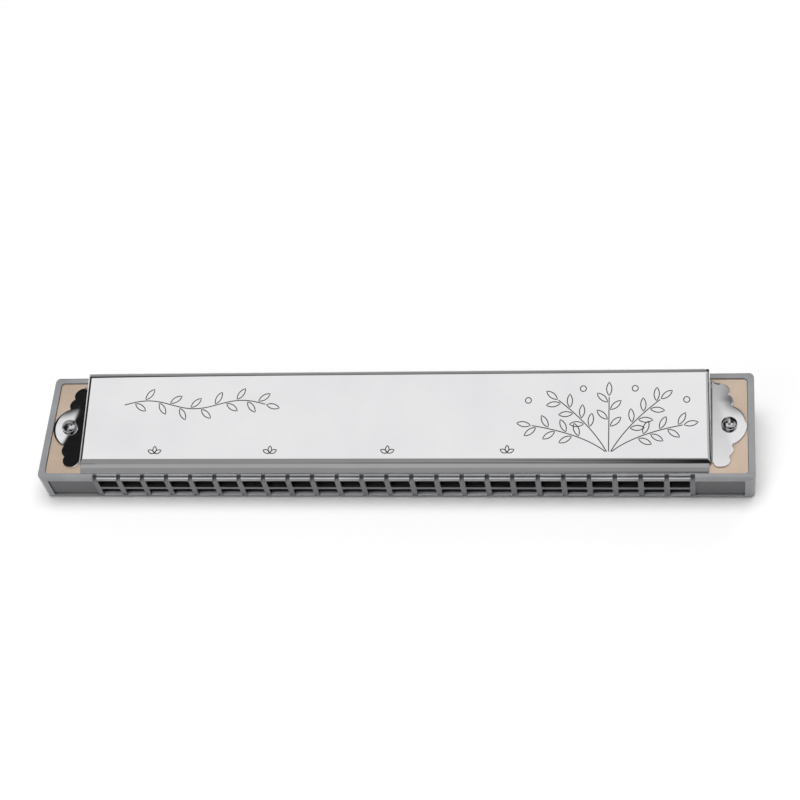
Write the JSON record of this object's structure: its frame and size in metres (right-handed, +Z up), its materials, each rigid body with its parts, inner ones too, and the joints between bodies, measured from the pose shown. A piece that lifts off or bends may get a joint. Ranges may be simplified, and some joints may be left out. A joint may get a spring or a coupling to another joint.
{
  "type": "tremolo harmonica",
  "caption": "Double-row tremolo harmonica: plastic comb, brass reed plates, hinged reed tongues and polished sloping covers",
  "frame": {"origin": "middle of the bounding box in plan, on the surface that the lower cover lies on", "axes": "+X along the harmonica towards the high notes, -Y towards the player's mouth, +Z up"},
  "size_m": [0.181, 0.0316, 0.0214],
  "materials": {
    "plastic": "smoky grey, slightly see-through moulded plastic",
    "plate_brass": "pale rolled brass",
    "reed_brass": "brushed brass",
    "cover_steel": "mirror-polished steel",
    "fastener_steel": "plated steel"
  },
  "bodies": {
    "body": {"comb": "plastic", "upper_reed_plate": "plate_brass", "lower_reed_plate": "plate_brass", "upper_cover": "cover_steel", "lower_cover": "cover_steel", "bass_screw": "fastener_steel", "bass_nut": "fastener_steel", "treble_screw": "fastener_steel", "treble_nut": "fastener_steel"},
    "upper_reed_01": {"upper_reed_01": "reed_brass"},
    "lower_reed_01": {"lower_reed_01": "reed_brass"},
    "upper_reed_02": {"upper_reed_02": "reed_brass"},
    "lower_reed_02": {"lower_reed_02": "reed_brass"},
    "upper_reed_03": {"upper_reed_03": "reed_brass"},
    "lower_reed_03": {"lower_reed_03": "reed_brass"},
    "upper_reed_04": {"upper_reed_04": "reed_brass"},
    "lower_reed_04": {"lower_reed_04": "reed_brass"},
    "upper_reed_05": {"upper_reed_05": "reed_brass"},
    "lower_reed_05": {"lower_reed_05": "reed_brass"},
    "upper_reed_06": {"upper_reed_06": "reed_brass"},
    "lower_reed_06": {"lower_reed_06": "reed_brass"},
    "upper_reed_07": {"upper_reed_07": "reed_brass"},
    "lower_reed_07": {"lower_reed_07": "reed_brass"},
    "upper_reed_08": {"upper_reed_08": "reed_brass"},
    "lower_reed_08": {"lower_reed_08": "reed_brass"},
    "upper_reed_09": {"upper_reed_09": "reed_brass"},
    "lower_reed_09": {"lower_reed_09": "reed_brass"},
    "upper_reed_10": {"upper_reed_10": "reed_brass"},
    "lower_reed_10": {"lower_reed_10": "reed_brass"},
    "upper_reed_11": {"upper_reed_11": "reed_brass"},
    "lower_reed_11": {"lower_reed_11": "reed_brass"},
    "upper_reed_12": {"upper_reed_12": "reed_brass"},
    "lower_reed_12": {"lower_reed_12": "reed_brass"},
    "upper_reed_13": {"upper_reed_13": "reed_brass"},
    "lower_reed_13": {"lower_reed_13": "reed_brass"},
    "upper_reed_14": {"upper_reed_14": "reed_brass"},
    "lower_reed_14": {"lower_reed_14": "reed_brass"},
    "upper_reed_15": {"upper_reed_15": "reed_brass"},
    "lower_reed_15": {"lower_reed_15": "reed_brass"},
    "upper_reed_16": {"upper_reed_16": "reed_brass"},
    "lower_reed_16": {"lower_reed_16": "reed_brass"},
    "upper_reed_17": {"upper_reed_17": "reed_brass"},
    "lower_reed_17": {"lower_reed_17": "reed_brass"},
    "upper_reed_18": {"upper_reed_18": "reed_brass"},
    "lower_reed_18": {"lower_reed_18": "reed_brass"},
    "upper_reed_19": {"upper_reed_19": "reed_brass"},
    "lower_reed_19": {"lower_reed_19": "reed_brass"},
    "upper_reed_20": {"upper_reed_20": "reed_brass"},
    "lower_reed_20": {"lower_reed_20": "reed_brass"},
    "upper_reed_21": {"upper_reed_21": "reed_brass"},
    "lower_reed_21": {"lower_reed_21": "reed_brass"},
    "upper_reed_22": {"upper_reed_22": "reed_brass"},
    "lower_reed_22": {"lower_reed_22": "reed_brass"},
    "upper_reed_23": {"upper_reed_23": "reed_brass"},
    "lower_reed_23": {"lower_reed_23": "reed_brass"},
    "upper_reed_24": {"upper_reed_24": "reed_brass"},
    "lower_reed_24": {"lower_reed_24": "reed_brass"}
  },
  "joints": [
    {"name": "upper_reed_01_swing", "type": "hinge", "parent": "body", "child": "upper_reed_01", "pos_m": [-0.07228, 0.00821, 0.01331], "axis": [1, 0, 0], "range_deg": [-3.3, 3.3], "stiffness_Nm_per_rad": 0.0012},
    {"name": "lower_reed_01_swing", "type": "hinge", "parent": "body", "child": "lower_reed_01", "pos_m": [-0.07228, 0.00961, 0.00715], "axis": [1, 0, 0], "range_deg": [-3.3, 3.3], "stiffness_Nm_per_rad": 0.0012},
    {"name": "upper_reed_02_swing", "type": "hinge", "parent": "body", "child": "upper_reed_02", "pos_m": [-0.06599, -0.00909, 0.01048], "axis": [1, 0, 0], "range_deg": [-3.27, 3.27], "stiffness_Nm_per_rad": 0.0011},
    {"name": "lower_reed_02_swing", "type": "hinge", "parent": "body", "child": "lower_reed_02", "pos_m": [-0.06599, -0.00721, 0.00221], "axis": [1, 0, 0], "range_deg": [-3.27, 3.27], "stiffness_Nm_per_rad": 0.0011},
    {"name": "upper_reed_03_swing", "type": "hinge", "parent": "body", "child": "upper_reed_03", "pos_m": [-0.05971, 0.00745, 0.01314], "axis": [1, 0, 0], "range_deg": [-3.25, 3.25], "stiffness_Nm_per_rad": 0.001},
    {"name": "lower_reed_03_swing", "type": "hinge", "parent": "body", "child": "lower_reed_03", "pos_m": [-0.05971, 0.00885, 0.00697], "axis": [1, 0, 0], "range_deg": [-3.25, 3.25], "stiffness_Nm_per_rad": 0.001},
    {"name": "upper_reed_04_swing", "type": "hinge", "parent": "body", "child": "upper_reed_04", "pos_m": [-0.05342, -0.00909, 0.01048], "axis": [1, 0, 0], "range_deg": [-3.22, 3.22], "stiffness_Nm_per_rad": 0.00095},
    {"name": "lower_reed_04_swing", "type": "hinge", "parent": "body", "child": "lower_reed_04", "pos_m": [-0.05342, -0.00721, 0.00221], "axis": [1, 0, 0], "range_deg": [-3.22, 3.22], "stiffness_Nm_per_rad": 0.00095},
    {"name": "upper_reed_05_swing", "type": "hinge", "parent": "body", "child": "upper_reed_05", "pos_m": [-0.04714, 0.00668, 0.01296], "axis": [1, 0, 0], "range_deg": [-3.2, 3.2], "stiffness_Nm_per_rad": 0.00088},
    {"name": "lower_reed_05_swing", "type": "hinge", "parent": "body", "child": "lower_reed_05", "pos_m": [-0.04714, 0.00809, 0.0068], "axis": [1, 0, 0], "range_deg": [-3.2, 3.2], "stiffness_Nm_per_rad": 0.00088},
    {"name": "upper_reed_06_swing", "type": "hinge", "parent": "body", "child": "upper_reed_06", "pos_m": [-0.04085, -0.00909, 0.01048], "axis": [1, 0, 0], "range_deg": [-3.17, 3.17], "stiffness_Nm_per_rad": 0.00081},
    {"name": "lower_reed_06_swing", "type": "hinge", "parent": "body", "child": "lower_reed_06", "pos_m": [-0.04085, -0.00721, 0.00221], "axis": [1, 0, 0], "range_deg": [-3.17, 3.17], "stiffness_Nm_per_rad": 0.00081},
    {"name": "upper_reed_07_swing", "type": "hinge", "parent": "body", "child": "upper_reed_07", "pos_m": [-0.03457, 0.00592, 0.01279], "axis": [1, 0, 0], "range_deg": [-3.14, 3.14], "stiffness_Nm_per_rad": 0.00075},
    {"name": "lower_reed_07_swing", "type": "hinge", "parent": "body", "child": "lower_reed_07", "pos_m": [-0.03457, 0.00732, 0.00663], "axis": [1, 0, 0], "range_deg": [-3.14, 3.14], "stiffness_Nm_per_rad": 0.00075},
    {"name": "upper_reed_08_swing", "type": "hinge", "parent": "body", "child": "upper_reed_08", "pos_m": [-0.02828, -0.00909, 0.01048], "axis": [1, 0, 0], "range_deg": [-3.12, 3.12], "stiffness_Nm_per_rad": 0.0007},
    {"name": "lower_reed_08_swing", "type": "hinge", "parent": "body", "child": "lower_reed_08", "pos_m": [-0.02828, -0.00721, 0.00221], "axis": [1, 0, 0], "range_deg": [-3.12, 3.12], "stiffness_Nm_per_rad": 0.0007},
    {"name": "upper_reed_09_swing", "type": "hinge", "parent": "body", "child": "upper_reed_09", "pos_m": [-0.022, 0.00516, 0.01261], "axis": [1, 0, 0], "range_deg": [-3.09, 3.09], "stiffness_Nm_per_rad": 0.00064},
    {"name": "lower_reed_09_swing", "type": "hinge", "parent": "body", "child": "lower_reed_09", "pos_m": [-0.022, 0.00656, 0.00645], "axis": [1, 0, 0], "range_deg": [-3.09, 3.09], "stiffness_Nm_per_rad": 0.00064},
    {"name": "upper_reed_10_swing", "type": "hinge", "parent": "body", "child": "upper_reed_10", "pos_m": [-0.01571, -0.00909, 0.01048], "axis": [1, 0, 0], "range_deg": [-3.07, 3.07], "stiffness_Nm_per_rad": 0.0006},
    {"name": "lower_reed_10_swing", "type": "hinge", "parent": "body", "child": "lower_reed_10", "pos_m": [-0.01571, -0.00721, 0.00221], "axis": [1, 0, 0], "range_deg": [-3.07, 3.07], "stiffness_Nm_per_rad": 0.0006},
    {"name": "upper_reed_11_swing", "type": "hinge", "parent": "body", "child": "upper_reed_11", "pos_m": [-0.00943, 0.00439, 0.01244], "axis": [1, 0, 0], "range_deg": [-3.04, 3.04], "stiffness_Nm_per_rad": 0.00055},
    {"name": "lower_reed_11_swing", "type": "hinge", "parent": "body", "child": "lower_reed_11", "pos_m": [-0.00943, 0.0058, 0.00628], "axis": [1, 0, 0], "range_deg": [-3.04, 3.04], "stiffness_Nm_per_rad": 0.00055},
    {"name": "upper_reed_12_swing", "type": "hinge", "parent": "body", "child": "upper_reed_12", "pos_m": [-0.00314, -0.00909, 0.01048], "axis": [1, 0, 0], "range_deg": [-3.01, 3.01], "stiffness_Nm_per_rad": 0.00051},
    {"name": "lower_reed_12_swing", "type": "hinge", "parent": "body", "child": "lower_reed_12", "pos_m": [-0.00314, -0.00721, 0.00221], "axis": [1, 0, 0], "range_deg": [-3.01, 3.01], "stiffness_Nm_per_rad": 0.00051},
    {"name": "upper_reed_13_swing", "type": "hinge", "parent": "body", "child": "upper_reed_13", "pos_m": [0.00314, 0.00363, 0.01227], "axis": [1, 0, 0], "range_deg": [-2.99, 2.99], "stiffness_Nm_per_rad": 0.00047},
    {"name": "lower_reed_13_swing", "type": "hinge", "parent": "body", "child": "lower_reed_13", "pos_m": [0.00314, 0.00503, 0.00611], "axis": [1, 0, 0], "range_deg": [-2.99, 2.99], "stiffness_Nm_per_rad": 0.00047},
    {"name": "upper_reed_14_swing", "type": "hinge", "parent": "body", "child": "upper_reed_14", "pos_m": [0.00943, -0.00909, 0.01048], "axis": [1, 0, 0], "range_deg": [-2.96, 2.96], "stiffness_Nm_per_rad": 0.00044},
    {"name": "lower_reed_14_swing", "type": "hinge", "parent": "body", "child": "lower_reed_14", "pos_m": [0.00943, -0.00721, 0.00221], "axis": [1, 0, 0], "range_deg": [-2.96, 2.96], "stiffness_Nm_per_rad": 0.00044},
    {"name": "upper_reed_15_swing", "type": "hinge", "parent": "body", "child": "upper_reed_15", "pos_m": [0.01571, 0.00287, 0.01209], "axis": [1, 0, 0], "range_deg": [-2.93, 2.93], "stiffness_Nm_per_rad": 0.0004},
    {"name": "lower_reed_15_swing", "type": "hinge", "parent": "body", "child": "lower_reed_15", "pos_m": [0.01571, 0.00427, 0.00593], "axis": [1, 0, 0], "range_deg": [-2.93, 2.93], "stiffness_Nm_per_rad": 0.0004},
    {"name": "upper_reed_16_swing", "type": "hinge", "parent": "body", "child": "upper_reed_16", "pos_m": [0.022, -0.00909, 0.01048], "axis": [1, 0, 0], "range_deg": [-2.91, 2.91], "stiffness_Nm_per_rad": 0.00037},
    {"name": "lower_reed_16_swing", "type": "hinge", "parent": "body", "child": "lower_reed_16", "pos_m": [0.022, -0.00721, 0.00221], "axis": [1, 0, 0], "range_deg": [-2.91, 2.91], "stiffness_Nm_per_rad": 0.00037},
    {"name": "upper_reed_17_swing", "type": "hinge", "parent": "body", "child": "upper_reed_17", "pos_m": [0.02828, 0.00211, 0.01192], "axis": [1, 0, 0], "range_deg": [-2.88, 2.88], "stiffness_Nm_per_rad": 0.00035},
    {"name": "lower_reed_17_swing", "type": "hinge", "parent": "body", "child": "lower_reed_17", "pos_m": [0.02828, 0.00351, 0.00576], "axis": [1, 0, 0], "range_deg": [-2.88, 2.88], "stiffness_Nm_per_rad": 0.00035},
    {"name": "upper_reed_18_swing", "type": "hinge", "parent": "body", "child": "upper_reed_18", "pos_m": [0.03457, -0.00909, 0.01048], "axis": [1, 0, 0], "range_deg": [-2.86, 2.86], "stiffness_Nm_per_rad": 0.00032},
    {"name": "lower_reed_18_swing", "type": "hinge", "parent": "body", "child": "lower_reed_18", "pos_m": [0.03457, -0.00721, 0.00221], "axis": [1, 0, 0], "range_deg": [-2.86, 2.86], "stiffness_Nm_per_rad": 0.00032},
    {"name": "upper_reed_19_swing", "type": "hinge", "parent": "body", "child": "upper_reed_19", "pos_m": [0.04085, 0.00134, 0.01175], "axis": [1, 0, 0], "range_deg": [-2.83, 2.83], "stiffness_Nm_per_rad": 0.0003},
    {"name": "lower_reed_19_swing", "type": "hinge", "parent": "body", "child": "lower_reed_19", "pos_m": [0.04085, 0.00275, 0.00558], "axis": [1, 0, 0], "range_deg": [-2.83, 2.83], "stiffness_Nm_per_rad": 0.0003},
    {"name": "upper_reed_20_swing", "type": "hinge", "parent": "body", "child": "upper_reed_20", "pos_m": [0.04714, -0.00909, 0.01048], "axis": [1, 0, 0], "range_deg": [-2.8, 2.8], "stiffness_Nm_per_rad": 0.00027},
    {"name": "lower_reed_20_swing", "type": "hinge", "parent": "body", "child": "lower_reed_20", "pos_m": [0.04714, -0.00721, 0.00221], "axis": [1, 0, 0], "range_deg": [-2.8, 2.8], "stiffness_Nm_per_rad": 0.00027},
    {"name": "upper_reed_21_swing", "type": "hinge", "parent": "body", "child": "upper_reed_21", "pos_m": [0.05342, 0.00058, 0.01157], "axis": [1, 0, 0], "range_deg": [-2.78, 2.78], "stiffness_Nm_per_rad": 0.00025},
    {"name": "lower_reed_21_swing", "type": "hinge", "parent": "body", "child": "lower_reed_21", "pos_m": [0.05342, 0.00198, 0.00541], "axis": [1, 0, 0], "range_deg": [-2.78, 2.78], "stiffness_Nm_per_rad": 0.00025},
    {"name": "upper_reed_22_swing", "type": "hinge", "parent": "body", "child": "upper_reed_22", "pos_m": [0.05971, -0.00909, 0.01048], "axis": [1, 0, 0], "range_deg": [-2.75, 2.75], "stiffness_Nm_per_rad": 0.00023},
    {"name": "lower_reed_22_swing", "type": "hinge", "parent": "body", "child": "lower_reed_22", "pos_m": [0.05971, -0.00721, 0.00221], "axis": [1, 0, 0], "range_deg": [-2.75, 2.75], "stiffness_Nm_per_rad": 0.00023},
    {"name": "upper_reed_23_swing", "type": "hinge", "parent": "body", "child": "upper_reed_23", "pos_m": [0.06599, -0.00018, 0.0114], "axis": [1, 0, 0], "range_deg": [-2.73, 2.73], "stiffness_Nm_per_rad": 0.00022},
    {"name": "lower_reed_23_swing", "type": "hinge", "parent": "body", "child": "lower_reed_23", "pos_m": [0.06599, 0.00122, 0.00524], "axis": [1, 0, 0], "range_deg": [-2.73, 2.73], "stiffness_Nm_per_rad": 0.00022},
    {"name": "upper_reed_24_swing", "type": "hinge", "parent": "body", "child": "upper_reed_24", "pos_m": [0.07228, -0.00909, 0.01048], "axis": [1, 0, 0], "range_deg": [-2.7, 2.7], "stiffness_Nm_per_rad": 0.0002},
    {"name": "lower_reed_24_swing", "type": "hinge", "parent": "body", "child": "lower_reed_24", "pos_m": [0.07228, -0.00721, 0.00221], "axis": [1, 0, 0], "range_deg": [-2.7, 2.7], "stiffness_Nm_per_rad": 0.0002}
  ],
  "couplings": [
    {"joint": "lower_reed_01_swing", "follows": "upper_reed_01_swing", "ratio": -1},
    {"joint": "lower_reed_02_swing", "follows": "upper_reed_02_swing", "ratio": -1},
    {"joint": "lower_reed_03_swing", "follows": "upper_reed_03_swing", "ratio": -1},
    {"joint": "lower_reed_04_swing", "follows": "upper_reed_04_swing", "ratio": -1},
    {"joint": "lower_reed_05_swing", "follows": "upper_reed_05_swing", "ratio": -1},
    {"joint": "lower_reed_06_swing", "follows": "upper_reed_06_swing", "ratio": -1},
    {"joint": "lower_reed_07_swing", "follows": "upper_reed_07_swing", "ratio": -1},
    {"joint": "lower_reed_08_swing", "follows": "upper_reed_08_swing", "ratio": -1},
    {"joint": "lower_reed_09_swing", "follows": "upper_reed_09_swing", "ratio": -1},
    {"joint": "lower_reed_10_swing", "follows": "upper_reed_10_swing", "ratio": -1},
    {"joint": "lower_reed_11_swing", "follows": "upper_reed_11_swing", "ratio": -1},
    {"joint": "lower_reed_12_swing", "follows": "upper_reed_12_swing", "ratio": -1},
    {"joint": "lower_reed_13_swing", "follows": "upper_reed_13_swing", "ratio": -1},
    {"joint": "lower_reed_14_swing", "follows": "upper_reed_14_swing", "ratio": -1},
    {"joint": "lower_reed_15_swing", "follows": "upper_reed_15_swing", "ratio": -1},
    {"joint": "lower_reed_16_swing", "follows": "upper_reed_16_swing", "ratio": -1},
    {"joint": "lower_reed_17_swing", "follows": "upper_reed_17_swing", "ratio": -1},
    {"joint": "lower_reed_18_swing", "follows": "upper_reed_18_swing", "ratio": -1},
    {"joint": "lower_reed_19_swing", "follows": "upper_reed_19_swing", "ratio": -1},
    {"joint": "lower_reed_20_swing", "follows": "upper_reed_20_swing", "ratio": -1},
    {"joint": "lower_reed_21_swing", "follows": "upper_reed_21_swing", "ratio": -1},
    {"joint": "lower_reed_22_swing", "follows": "upper_reed_22_swing", "ratio": -1},
    {"joint": "lower_reed_23_swing", "follows": "upper_reed_23_swing", "ratio": -1},
    {"joint": "lower_reed_24_swing", "follows": "upper_reed_24_swing", "ratio": -1}
  ]
}
